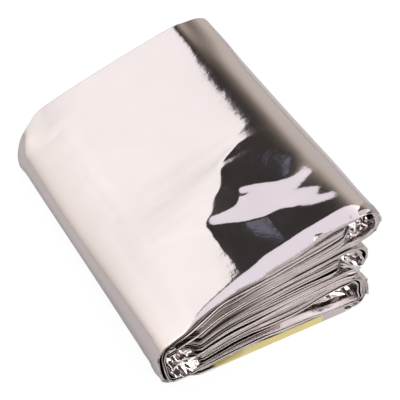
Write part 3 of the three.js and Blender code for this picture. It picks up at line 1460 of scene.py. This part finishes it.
@dataclass
class Ply:
    """One ply of the strip, beside its path.

    Attributes:
        path: The folds that it lies on.
        relief: Unevenness of the top.
        strand: Points of its path.
        side: Its place beside the path, in spreads, to the left of travel.
        rows: Its section along the packet.
        half: Half its thickness as a share of the spread, or 0 where the rows' lifts are in mm.
        seed: Seed of its unevenness.
        jitter: How unevenly its front edge lies, in mm.
        crush: How far its front corners are crumpled, in mm.
        crumpling: How they are crumpled.
        thinnest: Thickness factor of its thinnest run.
        thicker: How much more its thickest run may have.
        groove: Depth of the deepest groove in mm.
        stagger: How far its runs' front edges differ, in jitters.
        fan: How far apart the waves of two plies are, in runs.
        long_wave: Steps of the front edge's long waves from run to run, and their length in mm.
        short_wave: Steps of its short waves from run to run, and their length in mm.
        short_share: Depth of the short waves as a share of the long ones'.
        sink: How far its uppermost run lies below the top film, in mm.
        sink_span: Distances from the front between which it sinks, in mm.
    """

    path: FoldPath
    relief: TopRelief
    strand: Strand
    side: float
    rows: Sequence[Row]
    half: float
    seed: int
    jitter: float = 0.35
    crush: float = 0.8
    crumpling: Crumpling = Crumpling()
    thinnest: float = 0.72
    thicker: float = 0.5
    groove: float = 0.45
    stagger: float = 2.4
    fan: float = 0.37
    long_wave: tuple[float, float, float] = (31.0, 47.0, 17.0)
    short_wave: tuple[float, float, float] = (13.0, 29.0, 6.0)
    short_share: float = 0.4
    sink: float = 2.2
    sink_span: Span = (1.5, 9.0)

    def _edges(self) -> tuple[Array, Array, Array]:
        """Draws how each run's front edge looks.

        Returns:
            Thickness factors, groove depths in mm and extra insets in mm, one for each point.
        """
        draws = np.random.default_rng(self.seed).uniform(0.0, 1.0, (len(RUNS) + 1, 3))
        own = draws[np.round(self.strand.run).astype(int)]
        thick = self.thinnest + self.thicker * own[:, 0]
        return thick, self.groove * own[:, 1] ** 2, self.jitter * (self.stagger * own[:, 2] - 1.0)

    def _fronts(self, inset: Array) -> Array:
        """Front insets with the edge's waves and recesses; the bottom's turned-up front stays straight.

        Args:
            inset: Extra inset of each point's run in mm.

        Returns:
            Insets in mm.
        """
        strand = self.strand
        order = strand.run + self.fan * self.side
        across, up, size = self.long_wave
        wander = self.jitter * soft_noise(strand.x + across * order, up * order, size, self.seed)
        across, up, size = self.short_wave
        finer = facet_noise(strand.x + across * order, up * order, size, self.seed + 1)
        wander += self.short_share * self.jitter * finer
        room = 0.0
        if self.half:
            wander += inset + sum(recess.at(strand.run, strand.x) for recess in RECESSES)
            room = self.path.strip_room
        held = strand.straight(BOTTOM_RUN)[:, 0]
        return np.maximum(strand.front + np.where(held, room, wander), 0.0)

    def _hung(self, z: Array, from_front: Array) -> Array:
        """Lets the flap's front hang, and the plies under the top sink.

        Args:
            z: Heights in mm.
            from_front: Distances from the front in mm.

        Returns:
            Heights in mm.
        """
        strand, path = self.strand, self.path
        flap = ((strand.run == path.flap_run) * smoothstep(strand.x, *path.flap_span))[:, None]
        z = z - flap * path.flap_slope * np.maximum(0.0, path.flap_depth - from_front)
        if self.half:
            z = z - self.sink * (strand.run == TOP_RUN)[:, None] * smoothstep(from_front, *self.sink_span)
        return z

    def points(self) -> Array:
        """Works out the ply's points.

        Returns:
            Points in mm, lines by rows by 3.
        """
        strand, path = self.strand, self.path
        across, up = outward(strand.x, strand.z)
        section = np.array([(row.share, row.shift, row.lift, row.groove) for row in self.rows])
        share, shift, lift, notch = section.T[:, None]
        spread = strand.spread[:, None]
        thick, groove, inset = self._edges()
        if self.half:
            lift = lift * self.half * thick[:, None] * spread
        offset = self.side * spread + lift
        front = self._fronts(inset)[:, None]
        reach = path.length - front - strand.back[:, None]
        from_front = share * reach + shift + notch * groove[:, None]
        x = strand.x[:, None] + across[:, None] * offset
        z = self._hung(strand.z[:, None] + up[:, None] * offset, from_front)
        px, py, pz = path.place(strand, x, z, from_front, front)
        lean = path.lean(px, pz, from_front / reach)
        px, pz = px + lean, self.relief.lift(px, py, pz)
        weight = self.crumpling.weight(px, pz, from_front) * self.crush
        px, py, pz = self.crumpling.moved(px, py, pz, weight, self.seed)
        return np.stack([px + path.shift[0], py + path.shift[1], np.maximum(pz, 0.0)], axis=-1)


@dataclass
class OuterFilm:
    """The outermost ply: the top, the wrapped left edge, the bottom with its printed lip, the first fold.

    Attributes:
        path: The folds that it lies on.
        relief: Unevenness of the top.
        name: Its name.
        seed: Seed of its unevenness.
        jitter: How unevenly its front edge lies, in mm.
        crush: How far its front corners are crumpled, in mm.
        fold: Half the thickness of its folded-in edges in mm.
        tuck: How much of the film is folded in at each edge, in mm.
        hem_rows: Distances from the edge of the rows in the folded-in part, in mm.
        edge_rows: Number of rows round an edge.
        front_rows: First and last distance of the rows behind the front edge, and their step, in mm.
        body_rows: First and last share of the rows along the length, and their number.
        back_rows: Distances of the rows before the back edge in mm.
        hidden_step: Distance between the points of its inner runs in mm.
        bottom_step: The same on the bottom.
        top_step: The same on the top.
        turn_points: Points in its three turns, in the strip's order.
        lip: Height of the bottom's turned-up front in mm.
        lip_lean: How far that leans back, as a share of the tuck.
        lip_start: Places across between which it begins, in mm.
        lip_end: Places across between which it ends, in mm.
        tear: Place across, half width and depth of the small tear in the top's front edge, in mm.
        curl: Place across, width and height of the curl beside it, in mm.
        tear_reach: How far behind the edge both die away, in mm.
        printed_left: Places across between which the printed panel begins, in mm.
        printed_right: Places across between which it ends, in mm.
        printed_depth: How far behind the front edge it goes, in mm.
        printed_edge: How softly it ends there, in mm.
        soft_from: Place across from which the right shoulder is evened out, in mm.
        soft_rounds: How often that is done.
        soft_less: How much less it is done at the back.
        soft_span: Places along between which that begins, in mm.
    """

    path: FoldPath
    relief: TopRelief
    name: str = "outer_film"
    seed: int = 21
    jitter: float = 0.25
    crush: float = 1.3
    fold: float = 0.28
    tuck: float = 6.0
    hem_rows: tuple[float, ...] = (4.0, 2.4, 1.2)
    edge_rows: int = 7
    front_rows: tuple[float, float, float] = (0.7, 14.0, 0.55)
    body_rows: tuple[float, float, int] = (0.105, 0.93, 128)
    back_rows: tuple[float, ...] = (8.0, 6.6, 5.2, 4.0, 3.0, 2.0, 1.2, 0.7)
    hidden_step: float = 2.5
    bottom_step: float = 1.5
    top_step: float = 0.65
    turn_points: tuple[int, int, int] = (26, 44, 34)
    lip: float = 2.4
    lip_lean: float = 0.12
    lip_start: Span = (-27.0, 2.0)
    lip_end: Span = (31.0, 35.9)
    tear: tuple[float, float, float] = (23.6, 1.7, 2.6)
    curl: tuple[float, float, float] = (21.8, 1.0, 1.2)
    tear_reach: float = 1.2
    printed_left: Span = (-26.0, -24.0)
    printed_right: Span = (21.0, 21.6)
    printed_depth: float = 15.0
    printed_edge: float = 0.5
    soft_from: float = 22.0
    soft_rounds: int = 60
    soft_less: float = 0.9
    soft_span: Span = (30.0, 54.0)

    def _edge(self, end: int) -> list[Row]:
        """Rows round one of its folded edges, whose outer side is the film itself."""
        rows = nose(end, self.fold, self.edge_rows)
        return [Row(row.share, row.shift, self.fold * (row.lift - 1.0)) for row in rows]

    def rows(self) -> list[Row]:
        """The film's section along the packet: a tuck, the front edge, the length, the back edge, a tuck.

        Returns:
            The rows from front to back.
        """
        under = -2.0 * self.fold
        front = [Row(0.0, distance, under) for distance in (self.tuck, *self.hem_rows)]
        front += self._edge(0)
        front += [Row(0.0, distance, 0.0) for distance in np.arange(*self.front_rows)]
        body = [Row(share, 0.0, 0.0) for share in np.linspace(*self.body_rows)]
        back = [Row(1.0, -distance, 0.0) for distance in self.back_rows]
        back += self._edge(1)
        back += [Row(1.0, -distance, under) for distance in (*reversed(self.hem_rows[1:]), self.tuck)]
        return front + body + back

    def strand(self) -> Strand:
        """Points of its path, close together where it shows.

        Returns:
            The points.
        """
        path, (right, left, upper) = self.path, self.turn_points
        parts = [
            path.run_strand(9, self.hidden_step),
            path.turn_strand(Side.RIGHT, 9, BOTTOM_RUN, right),
            path.run_strand(BOTTOM_RUN, self.bottom_step).reversed(),
            path.turn_strand(Side.LEFT, BOTTOM_RUN, TOP_RUN, left),
            path.run_strand(TOP_RUN, self.top_step),
            path.turn_strand(Side.RIGHT, TOP_RUN, 4, upper),
            path.run_strand(4, self.hidden_step).reversed(),
        ]
        return Strand.joined(parts)

    def build(self, material: bpy.types.Material) -> tuple[bpy.types.Object, Strand]:
        """Makes the piece.

        Args:
            material: The film's finish.

        Returns:
            The piece with its path.
        """
        strand, rows = self.strand(), self.rows()
        ply = Ply(self.path, self.relief, strand, 1.0, rows, 0.0, self.seed, self.jitter, self.crush)
        points = ply.points()
        self._turn_up(points, strand, rows)
        from_front = np.array([row.shift if row.share == 0.0 else FAR for row in rows])[None, :]
        self._tear(points, strand, from_front)
        self._soften(points, strand)
        x = strand.x[:, None]
        printed = smoothstep(x, *self.printed_left) * smoothfall(x, *self.printed_right)
        printed = printed * smoothfall(from_front, self.printed_depth - self.printed_edge, self.printed_depth)
        printed = np.where(strand.straight(BOTTOM_RUN), printed, 0.0)
        return mesh_of(self.name, points, False, material, {"printed": printed}), strand

    def _turn_up(self, points: Array, strand: Strand, rows: Sequence[Row]) -> None:
        """Turns the bottom's folded-in front up.

        Args:
            points: The film's points in mm, which are moved.
            strand: Their path.
            rows: Their section along the packet.
        """
        tucked = [row.share == 0.0 and row.lift < -self.fold for row in rows]
        hem = np.where(tucked, [row.shift for row in rows], 0.0)[None, :]
        x = strand.x[:, None]
        upright = np.sqrt(smoothstep(x, *self.lip_start)) * smoothfall(x, *self.lip_end)
        upright = np.where(strand.straight(BOTTOM_RUN), upright, 0.0)
        points[..., 2] += upright * hem * self.lip / self.tuck
        points[..., 1] -= upright * hem * (1.0 - self.lip_lean)

    def _tear(self, points: Array, strand: Strand, from_front: Array) -> None:
        """Tears the top's front edge a little, with a curl beside the tear.

        Args:
            points: The film's points in mm, which are moved.
            strand: Their path.
            from_front: Distances from the front edge in mm, one by rows.
        """
        x = strand.x[:, None]
        near = np.exp(-np.maximum(from_front, 0.0) / self.tear_reach)
        near = np.where(strand.straight(TOP_RUN), near, 0.0)
        place, width, depth = self.tear
        points[..., 1] += near * depth * np.clip(1.0 - np.abs(x - place) / width, 0.0, 1.0)
        place, width, height = self.curl
        points[..., 2] += near * height * np.exp(-(((x - place) / width) ** 2))

    def _soften(self, points: Array, strand: Strand) -> None:
        """Evens out the crease where the top goes over into the right turn.

        Args:
            points: The film's points in mm, which are moved.
            strand: Their path.
        """
        lines = np.flatnonzero((strand.run == TOP_RUN) & (strand.x > self.soft_from))
        stretch = slice(lines[0], lines[-1] + 1)
        weight = np.zeros(len(strand.x))
        weight[stretch] = np.sqrt(np.sin(np.linspace(0.0, np.pi, stretch.stop - stretch.start)))
        held = 1 - self.soft_less * smoothstep(points[..., 1:2], *self.soft_span)
        held = weight[:, None, None] * held
        for _ in range(self.soft_rounds):
            even = 0.25 * (np.roll(points, 1, axis=0) + np.roll(points, -1, axis=0)) + 0.5 * points
            points[...] = mix(points, even, held)


@dataclass(frozen=True)
class Layer:
    """One piece of the film inside the packet.

    Attributes:
        name: Its name.
        runs: Numbers of its runs, in the strip's order.
        side: Its place beside the path, in spreads, to the left of travel.
        half: Half its thickness as a share of the spread.
        seed: Seed of its unevenness.
        painted_shade_last_run: Number of the lowest run that gets painted shade at the left, or 0.
    """

    name: str
    runs: tuple[int, ...]
    side: float
    half: float
    seed: int
    painted_shade_last_run: int


@dataclass
class InnerFolds:
    """The plies inside the packet, each a folded double edge at the front and the back.

    Attributes:
        path: The folds that they lie on.
        relief: Unevenness of the top.
        step: Distance between the points of a run in mm.
        turn_points: Points in one turn.
        radius: How far their edges are rounded, in mm.
        front_edge: Number of rows round the front edge.
        back_edge: Number of rows round the back edge.
        margin_rows: Distances of the rows next to both edges in mm.
        body_rows: First and last share of the rows along the length, and their number.
        painted_shade_strength: How strong the painted shade is on those runs at the left, where they lie
            recessed under the lip.
        painted_shade_span: Places across between which that painted shade ends, in mm.
        least_painted_shade: Painted shade that all of them get at least, which darkens their reflections.
        layers: The pieces.
    """

    path: FoldPath
    relief: TopRelief
    step: float = 2.0
    turn_points: int = 12
    radius: float = 0.35
    front_edge: int = 9
    back_edge: int = 7
    margin_rows: tuple[float, ...] = (0.6, 1.2, 2.2, 4.0, 7.0, 12.0)
    body_rows: tuple[float, float, int] = (0.16, 0.84, 7)
    painted_shade_strength: float = 0.9
    painted_shade_span: Span = (-20.0, 14.0)
    least_painted_shade: float = 0.28
    layers: tuple[Layer, ...] = (
        Layer("inner_plies", ORDER, -0.85, 0.66, 40, 7),
        Layer("wrapped_plies", ORDER[:4], 0.2, 0.56, 50, 4),
        Layer("outer_plies", ORDER[4:], 0.85, 0.44, 60, 0),
    )

    def rows(self) -> list[Row]:
        """A closed section along the packet: front edge, outer side, back edge, inner side.

        Returns:
            The rows.
        """
        outer = [Row(0.0, distance, 1.0) for distance in self.margin_rows]
        outer += [Row(share, 0.0, 1.0) for share in np.linspace(*self.body_rows)]
        outer += [Row(1.0, -distance, 1.0) for distance in reversed(self.margin_rows)]
        inner = [Row(row.share, row.shift, -1.0) for row in reversed(outer)]
        return nose(0, self.radius, self.front_edge) + outer + nose(1, self.radius, self.back_edge) + inner

    def build(self, material: bpy.types.Material) -> list[tuple[bpy.types.Object, Strand]]:
        """Makes the pieces.

        Args:
            material: The film's finish.

        Returns:
            Each piece with its path.
        """
        made = []
        for layer in self.layers:
            strand = self.path.strand(layer.runs, self.step, self.turn_points)
            ply = Ply(self.path, self.relief, strand, layer.side, self.rows(), layer.half, layer.seed)
            points = ply.points()
            # Painted shade: the upper runs are darkened at the left, where they lie recessed under the lip,
            # and every ply is darkened a little.
            painted_shade_brown = self.painted_shade_strength * smoothfall(strand.x, *self.painted_shade_span)
            shade = np.where((strand.run >= TOP_RUN) & (strand.run <= layer.painted_shade_last_run), painted_shade_brown, 0.0)
            shades = np.maximum(shade, self.least_painted_shade)[:, None] * np.ones(points.shape[:2])
            made.append((mesh_of(layer.name, points, True, material, {"shade": shades}), strand))
        return made


@dataclass(frozen=True)
class Tuck:
    """Crumpled film pushed into an opening of the front end, as a small upright sheet.

    Attributes:
        name: Its name.
        left: Place across of its left end in mm.
        right: Place across of its right end in mm.
        over: Run under which it is held.
        under: Run on which it stands.
        depth: How far behind the packet's front it stands, in mm.
        facet: Size of its facets in mm.
        crumple: How deep they are in mm.
        seed: Seed of its facets.
        inner: Which of its ends goes back into the layers.
        slant: How far it leans back, in mm for each mm of height.
        stretch: How many times wider than high its facets are.
        tail: How much of it lies flat under the run above, in mm.
        tail_rows: Number of rows in that part.
        column: Distance between its points across in mm.
        rows: Number of its rows.
        gap: How far it stays clear of both runs, in mm.
        belly: How hollow it is, as four times the depth halfway up, in mm.
        retreat: How far its inner end goes back, in mm.
        retreat_width: Distance from that end over which it does so, in mm.
        flatness: How many times lower its facets are than their size.
        shear: How far the finer facets lean across, in mm for each mm of height.
        fine_size: Size of the finer facets as a share of the others'.
        fine_share: Depth of the finer facets as a share of the others'.
        sway: How far its points also move across, as a share of the depth.
        slack: How much longer it is than the opening is high.
    """

    name: str
    left: float
    right: float
    over: int
    under: int
    depth: float
    facet: float
    crumple: float
    seed: int
    inner: Side
    slant: float = 0.0
    stretch: float = 1.0
    tail: float = 10.0
    tail_rows: int = 5
    column: float = 0.35
    rows: int = 40
    gap: float = 0.4
    belly: float = 3.0
    retreat: float = 5.0
    retreat_width: float = 6.0
    flatness: float = 1.3
    shear: float = 0.5
    fine_size: float = 0.45
    fine_share: float = 0.35
    sway: float = 0.4
    slack: float = 1.15

    def build(
        self, path: FoldPath, relief: TopRelief, material: bpy.types.Material
    ) -> tuple[bpy.types.Object, Span]:
        """Makes the piece.

        Args:
            path: The folds that it lies in.
            relief: Unevenness of the top.
            material: The film's finish.

        Returns:
            The piece, and its flat size in mm.
        """
        columns = round((self.right - self.left) / self.column)
        x = np.linspace(self.left, self.right, columns)[:, None] * np.ones((1, self.rows))
        share = np.linspace(0.0, 1.0, self.rows)[None, :] * np.ones((columns, 1))
        low, high = path.opening(self.over, self.under, x)
        z = mix(low + self.gap, high - self.gap, share)
        inward = x - self.left if self.inner is Side.LEFT else self.right - x
        y = -path.length / 2 + self.depth + self.belly * share * (1 - share)
        y = y + self.retreat * smoothfall(inward, 0.0, self.retreat_width)
        y = y + self.slant * (z - low)
        z = relief.lift(x, y, z)
        fold = facet_noise(x / self.stretch, z * self.flatness, self.facet, self.seed)
        fine = facet_noise(x / self.stretch + self.shear * z, z, self.fine_size * self.facet, self.seed + 1)
        y = y + self.crumple * (fold + self.fine_share * fine)
        x = x + self.sway * self.crumple * facet_noise(z, x, self.facet, self.seed + 2)
        points = np.stack([x + path.shift[0], y + path.shift[1], z], axis=-1)
        tail = np.repeat(points[:, -1:], self.tail_rows, axis=1)
        tail[..., 1] += np.linspace(1.0 / self.tail_rows, 1.0, self.tail_rows) * self.tail
        piece = mesh_of(self.name, np.concatenate([points, tail], axis=1), False, material, {})
        return piece, (self.right - self.left, self.slack * float((high - low).mean()) + self.tail)


TUCKS = (
    Tuck("core_tuck", -42.5, -25.0, 2, 11, 0.6, 2.6, 1.6, 74, Side.RIGHT, 0.8),
    Tuck("pocket_tuck", 4.0, 38.0, 10, 11, 4.0, 2.8, 1.3, 81, Side.LEFT, 0.7, 1.8),
    Tuck("upper_end_tuck", 31.0, 44.5, 1, 4, 5.4, 3.4, 2.0, 90, Side.LEFT, 0.5),
    Tuck("middle_end_tuck", 28.0, 41.0, 5, 8, 4.2, 3.0, 1.8, 100, Side.LEFT, 0.35),
)


@dataclass(frozen=True)
class Softbox:
    """A large soft light, far from the packet.

    Attributes:
        name: Its name.
        azimuth: Degrees from straight behind the packet, to the right.
        elevation: Degrees above the floor.
        distance: Distance from the packet in metres.
        roll: Degrees that it is turned in its own plane.
        size: Width and height in metres.
        radiance: Its brightness in red, green and blue.
        falloff: How much darker its rim is than its middle.
        skirt: How far it goes on below its own height, as a share of it.
        dimming: How much darker the lower rim of the skirt is.
        undimmed: Share of its own height from which up it isn't dimmed.
    """

    name: str
    azimuth: float
    elevation: float
    distance: float
    roll: float
    size: Span
    radiance: Colour
    falloff: float = 0.1
    skirt: float = 0.0
    dimming: float = 0.0
    undimmed: float = 0.7

    def build(self) -> bpy.types.Object:
        """Makes the light.

        Returns:
            The light, which the camera doesn't see.
        """
        light = bpy.data.lights.new(self.name, "AREA")
        light.shape = "RECTANGLE"
        width, height = self.size[0], self.size[1] * (1.0 + self.skirt)
        light.size, light.size_y = width, height
        strongest = max(self.radiance)
        light.color = tuple(part / strongest for part in self.radiance)
        light.energy = strongest * math.pi * width * height
        light.use_nodes = True
        self._shade(Graph(light.node_tree))
        made = bpy.data.objects.new(self.name, light)
        towards = pointing(self.azimuth, self.elevation, 1.0)
        turned = (-towards).to_track_quat("-Z", "Y") @ Quaternion((0.0, 0.0, 1.0), math.radians(self.roll))
        made.rotation_euler = turned.to_euler()
        made.location = towards * self.distance - turned @ Vector((0.0, 0.5 * self.skirt * self.size[1], 0.0))
        made.visible_camera = False
        bpy.context.scene.collection.objects.link(made)
        return made

    def _shade(self, graph: Graph) -> None:
        """Makes it darker towards its rim and down its skirt.

        Args:
            graph: The light's own nodes.
        """
        spot = graph.node("ShaderNodeNewGeometry", output="Parametric")
        across = graph.part(spot, "X") - 0.5
        upwards = graph.part(spot, "Y") - 0.5
        squared = upwards * upwards + across * across
        raised = (upwards + 0.5) * (1.0 + self.skirt) - self.skirt
        dim = graph.mapped(raised, (-self.skirt, self.undimmed), self.dimming, 0.0)
        strength = 1.0 - squared * (2.0 * self.falloff) - dim
        lit = graph.node("ShaderNodeMath", {"operation": "MAXIMUM"}, {0: strength, 1: 0.0})
        emission = graph.node("ShaderNodeEmission", None, {"Color": lit})
        graph.node("ShaderNodeOutputLight", None, {"Surface": emission})


@dataclass
class Studio:
    """Pale floor, soft lights, dim surroundings and the camera.

    Attributes:
        azimuth: Camera's angle round the packet in degrees.
        elevation: Camera's angle above the floor in degrees.
        distance: Camera's distance from its target in mm.
        target: Point that the camera looks at, in mm.
        lens: Focal length in mm.
        sensor: Width of the sensor in mm.
        nearest: Nearest distance that the camera sees, in metres.
        floor_radius: Radius of the floor in metres.
        floor_sides: Number of its sides.
        floor_drop: How far it lies below the packet, in mm.
        room: Colours of the room at shares of the way to straight sideways.
        left_share: How much closer to the middle the room's left side looks.
        middle: Directions sideways between which the left side goes over into the right one.
        front_dim: Colour of the room's dim front.
        front_span: Directions along between which that begins.
        softboxes: The lights.
    """

    azimuth: float = -28.45
    elevation: float = 45.79
    distance: float = 554.65
    target: tuple[float, float, float] = (3.15, -3.69, 15.0)
    lens: float = 125.65
    sensor: float = 36.0
    nearest: float = 0.01
    floor_radius: float = 3.0
    floor_sides: int = 96
    floor_drop: float = 0.3
    room: tuple[Stop, ...] = (
        (0.0, (0.045, 0.040, 0.040)),
        (0.10, (0.055, 0.048, 0.046)),
        (0.15, (0.088, 0.077, 0.070)),
        (0.22, (0.150, 0.130, 0.110)),
        (0.31, (0.270, 0.235, 0.205)),
        (0.42, (0.480, 0.430, 0.390)),
        (0.53, (0.650, 0.600, 0.555)),
        (0.64, (0.700, 0.650, 0.610)),
        (0.85, (0.690, 0.650, 0.620)),
    )
    left_share: float = 0.65
    middle: Span = (-0.1, 0.1)
    front_dim: Colour = (0.075, 0.07, 0.067)
    front_span: Span = (0.05, -0.25)
    softboxes: tuple[Softbox, ...] = (
        Softbox("window_light", -25.0, 38.0, 1.6, 22.9, (1.8, 0.956), (1.25, 1.24, 1.25), 0.0, 1.1, 0.97),
        Softbox("overhead_light", 0.0, 85.0, 1.4, 0.0, (2.4, 1.14), (1.05, 1.02, 1.12)),
        Softbox("front_light", 160.0, 38.0, 1.5, 0.0, (1.3, 0.6), (3.0, 2.95, 2.9)),
        Softbox("low_light", 160.0, 13.0, 1.5, 0.0, (1.3, 0.5), (1.7, 1.66, 1.62)),
        Softbox("blue_glow", 10.0, 53.2, 1.5, 0.0, (0.12, 0.09), (0.17, 0.18, 0.26), 1.0),
    )

    def build(self) -> None:
        """Makes the floor, lights, surroundings and camera."""
        self._floor()
        for softbox in self.softboxes:
            softbox.build()
        self._surroundings()
        self._camera()

    def _floor(self) -> None:
        """Makes the floor, a hair below the packet."""
        mesh = bpy.data.meshes.new("floor")
        shape = bmesh.new()
        bmesh.ops.create_circle(shape, cap_ends=True, segments=self.floor_sides, radius=self.floor_radius)
        for vertex in shape.verts:
            vertex.co.z = -self.floor_drop * MM
        shape.to_mesh(mesh)
        shape.free()
        mesh.materials.append(FloorFinish().material())
        floor = bpy.data.objects.new("floor", mesh)
        bpy.context.scene.collection.objects.link(floor)

    def _surroundings(self) -> None:
        """Makes the room: dim in the middle, lighter to both sides, dim in front, white to the camera."""
        world = bpy.data.worlds.new("studio_room")
        world.use_nodes = True
        graph = Graph(world.node_tree)
        direction = graph.node("ShaderNodeTexCoord", output="Generated")
        across = graph.part(direction, "X")
        forward = graph.mapped(graph.part(direction, "Y"), self.front_span, 0.0, 1.0)
        sideways = graph.node("ShaderNodeMath", {"operation": "ABSOLUTE"}, {0: across})
        closer = graph.mapped(across, self.middle, self.left_share, 1.0)
        room = graph.node("ShaderNodeValToRGB", {"stops": self.room}, {"Fac": sideways * closer})
        seen = graph.node("ShaderNodeLightPath", output="Is Camera Ray")
        colour = graph.blend(seen, graph.blend(forward, room, self.front_dim), (1.0, 1.0, 1.0))
        shade = graph.node("ShaderNodeBackground", None, {"Color": colour})
        graph.node("ShaderNodeOutputWorld", None, {"Surface": shade})
        bpy.context.scene.world = world

    def _camera(self) -> None:
        """Makes the camera at the photograph's angle."""
        towards = pointing(self.azimuth, self.elevation, -1.0)
        data = bpy.data.cameras.new("camera")
        data.lens = self.lens
        data.sensor_width = self.sensor
        data.clip_start = self.nearest
        camera = bpy.data.objects.new("camera", data)
        camera.location = (Vector(self.target) + towards * self.distance) * MM
        camera.rotation_euler = (-towards).to_track_quat("-Z", "Y").to_euler()
        bpy.context.scene.collection.objects.link(camera)
        bpy.context.scene.camera = camera


def declare(piece: bpy.types.Object, width: float, length: float) -> None:
    """Attaches a piece of film to the packet's body, hides the imported packet's own mesh, and logs the
    piece's faces and flat size.

    Args:
        piece: The piece.
        width: Its flat width in mm.
        length: Its flat length in mm.
    """
    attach(piece, BODY)
    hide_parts(NODE)
    width * MM
    length * MM
    LOG.info("%s: %d faces, %.0f by %.0f mm flat", piece.name, len(piece.data.polygons), width, length)


def main() -> None:
    """Builds the film, then the studio."""
    logging.basicConfig(level=logging.INFO, format="%(name)s: %(message)s")
    bpy.context.scene.view_settings.view_transform = "Standard"
    film = FilmFinish().material()
    path = FoldPath()
    relief = TopRelief(path)
    for piece, strand in (OuterFilm(path, relief).build(film), *InnerFolds(path, relief).build(film)):
        declare(piece, path.length, strand.length())
    for tuck in TUCKS:
        piece, flat = tuck.build(path, relief, film)
        declare(piece, *flat)
    Studio().build()


if __name__ == "__main__":
    main()
